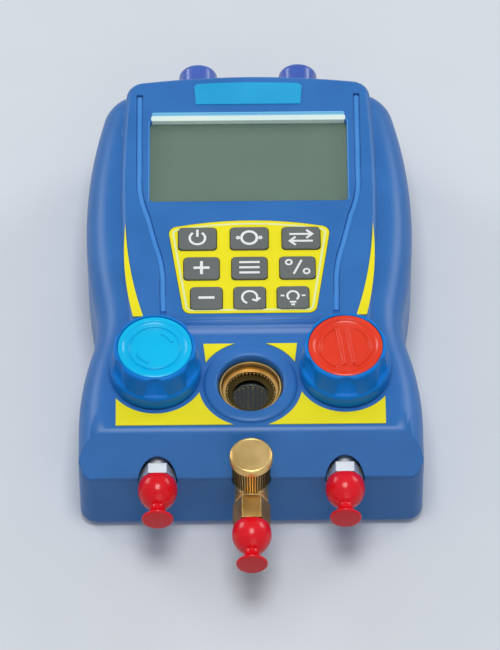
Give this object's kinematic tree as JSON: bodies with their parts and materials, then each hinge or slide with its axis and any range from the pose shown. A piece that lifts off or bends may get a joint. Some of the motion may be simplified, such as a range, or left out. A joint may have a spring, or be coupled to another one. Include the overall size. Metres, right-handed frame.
{
  "type": "refrigerant manifold gauge",
  "caption": "Handheld digital two-valve refrigerant manifold gauge with display, keypad, sight glass, coloured valve knobs and capped flare ports.",
  "frame": {"origin": "under the middle of the whole object's box, on the flat back", "axes": "+Z out of the display face, +Y towards the probe sockets, -Y towards the hose ports, +X to the high side"},
  "size_m": [0.127, 0.2258, 0.0611],
  "materials": {
    "housing_blue": "satin moulded ABS",
    "display_window": "clear acrylic",
    "display_glass": "grey-green liquid crystal glass",
    "light_panel": "white diffuser",
    "name_film": "printed film, bare",
    "yellow_film": "printed film",
    "key_rubber": "silicone keys",
    "mat_rubber": "silicone sheet",
    "board_green": "solder mask",
    "chip_black": "moulded epoxy",
    "contact_gold": "gold plated",
    "screw_steel": "zinc plated",
    "block_aluminium": "machined",
    "brass": "machined brass",
    "plated_brass": "nickel plated",
    "seal_rubber": "nitrile rubber",
    "knob_blue": "moulded ABS",
    "insert_cyan": "moulded disc",
    "insert_red": "moulded disc",
    "cap_red": "moulded polyethylene",
    "sight_glass": "fused glass",
    "sensor_steel": "stainless steel",
    "socket_blue": "moulded nylon",
    "cell_jacket": "battery jacket",
    "hook_black": "glass filled nylon"
  },
  "bodies": {
    "root": {"front_case": "housing_blue", "rear_case": "housing_blue", "case_screws": "screw_steel", "display_window": "display_window", "lcd_glass": "display_glass", "lcd_backlight": "light_panel", "label_plate": "name_film", "keypad_panel": "yellow_film", "keypad_mat": "mat_rubber", "key_contacts": "contact_gold", "circuit_board": "board_green", "board_screws": "screw_steel", "board_parts": "chip_black", "valve_block": "block_aluminium", "block_screws": "screw_steel", "low_bonnet": "brass", "high_bonnet": "brass", "stem_seals": "seal_rubber", "sight_glass_collar": "brass", "sight_glass_lens": "sight_glass", "sight_glass_seal": "seal_rubber", "low_port": "plated_brass", "high_port": "plated_brass", "centre_tee": "brass", "low_sensor": "sensor_steel", "high_sensor": "sensor_steel", "left_probe_socket": "socket_blue", "right_probe_socket": "socket_blue", "probe_pins": "contact_gold", "lower_trims": "yellow_film", "upper_trims": "yellow_film", "ridge_trims": "yellow_film", "battery_cells": "cell_jacket", "battery_contacts": "contact_gold", "hook_pin": "screw_steel"},
    "low_piston": {"low_piston": "brass"},
    "high_piston": {"high_piston": "brass"},
    "low_knob": {"low_knob": "knob_blue", "low_stem": "screw_steel", "low_knob_insert": "insert_cyan", "low_knob_screw": "screw_steel"},
    "high_knob": {"high_knob": "knob_blue", "high_stem": "screw_steel", "high_knob_insert": "insert_red", "high_knob_screw": "screw_steel"},
    "battery_cover": {"battery_cover": "housing_blue"},
    "hanging_hook": {"hanging_hook": "hook_black"},
    "low_cap": {"low_cap": "cap_red"},
    "high_cap": {"high_cap": "cap_red"},
    "centre_cap": {"centre_cap": "cap_red"},
    "service_cap": {"service_cap": "brass"},
    "key_power": {"key_power": "key_rubber"},
    "key_zero": {"key_zero": "key_rubber"},
    "key_units": {"key_units": "key_rubber"},
    "key_plus": {"key_plus": "key_rubber"},
    "key_mode": {"key_mode": "key_rubber"},
    "key_scale": {"key_scale": "key_rubber"},
    "key_minus": {"key_minus": "key_rubber"},
    "key_vacuum": {"key_vacuum": "key_rubber"},
    "key_lamp": {"key_lamp": "key_rubber"}
  },
  "joints": [
    {"name": "low_piston_slide", "type": "slide", "parent": "root", "child": "low_piston", "axis": [0, 0, 1], "range_m": [0, 0.0025]},
    {"name": "low_knob_turn", "type": "hinge", "parent": "low_piston", "child": "low_knob", "pos_m": [-0.035, -0.0387, 0.0451], "axis": [0, 0, 1], "range_deg": [0, 900.1]},
    {"name": "high_piston_slide", "type": "slide", "parent": "root", "child": "high_piston", "axis": [0, 0, 1], "range_m": [0, 0.0025]},
    {"name": "high_knob_turn", "type": "hinge", "parent": "high_piston", "child": "high_knob", "pos_m": [0.035, -0.0387, 0.0451], "axis": [0, 0, 1], "range_deg": [0, 900.1]},
    {"name": "press_power", "type": "slide", "parent": "root", "child": "key_power", "axis": [0, 0, -1], "range_m": [0, 0.0008], "stiffness_N_per_m": 1250},
    {"name": "press_zero", "type": "slide", "parent": "root", "child": "key_zero", "axis": [0, 0, -1], "range_m": [0, 0.0008], "stiffness_N_per_m": 1250},
    {"name": "press_units", "type": "slide", "parent": "root", "child": "key_units", "axis": [0, 0, -1], "range_m": [0, 0.0008], "stiffness_N_per_m": 1250},
    {"name": "press_plus", "type": "slide", "parent": "root", "child": "key_plus", "axis": [0, 0, -1], "range_m": [0, 0.0008], "stiffness_N_per_m": 1250},
    {"name": "press_mode", "type": "slide", "parent": "root", "child": "key_mode", "axis": [0, 0, -1], "range_m": [0, 0.0008], "stiffness_N_per_m": 1250},
    {"name": "press_scale", "type": "slide", "parent": "root", "child": "key_scale", "axis": [0, 0, -1], "range_m": [0, 0.0008], "stiffness_N_per_m": 1250},
    {"name": "press_minus", "type": "slide", "parent": "root", "child": "key_minus", "axis": [0, 0, -1], "range_m": [0, 0.0008], "stiffness_N_per_m": 1250},
    {"name": "press_vacuum", "type": "slide", "parent": "root", "child": "key_vacuum", "axis": [0, 0, -1], "range_m": [0, 0.0008], "stiffness_N_per_m": 1250},
    {"name": "press_lamp", "type": "slide", "parent": "root", "child": "key_lamp", "axis": [0, 0, -1], "range_m": [0, 0.0008], "stiffness_N_per_m": 1250},
    {"name": "cover_hinge", "type": "hinge", "parent": "root", "child": "battery_cover", "pos_m": [0, 0.0086, 0.0013], "axis": [-1, 0, 0], "range_deg": [0, 90]},
    {"name": "hook_hinge", "type": "hinge", "parent": "root", "child": "hanging_hook", "pos_m": [0, 0.0933, 0.003], "axis": [1, 0, 0], "range_deg": [0, 180]},
    {"name": "low_cap_pull", "type": "slide", "parent": "root", "child": "low_cap", "axis": [0, -1, 0], "range_m": [0, 0.014]},
    {"name": "high_cap_pull", "type": "slide", "parent": "root", "child": "high_cap", "axis": [0, -1, 0], "range_m": [0, 0.014]},
    {"name": "centre_cap_pull", "type": "slide", "parent": "root", "child": "centre_cap", "axis": [0, -1, 0], "range_m": [0, 0.014]},
    {"name": "service_cap_pull", "type": "slide", "parent": "root", "child": "service_cap", "axis": [0, 0, 1], "range_m": [0, 0.014]}
  ],
  "couplings": [
    {"joint": "low_knob_turn", "follows": "low_piston_slide", "rad_per_m": 6283.2},
    {"joint": "high_knob_turn", "follows": "high_piston_slide", "rad_per_m": 6283.2}
  ]
}
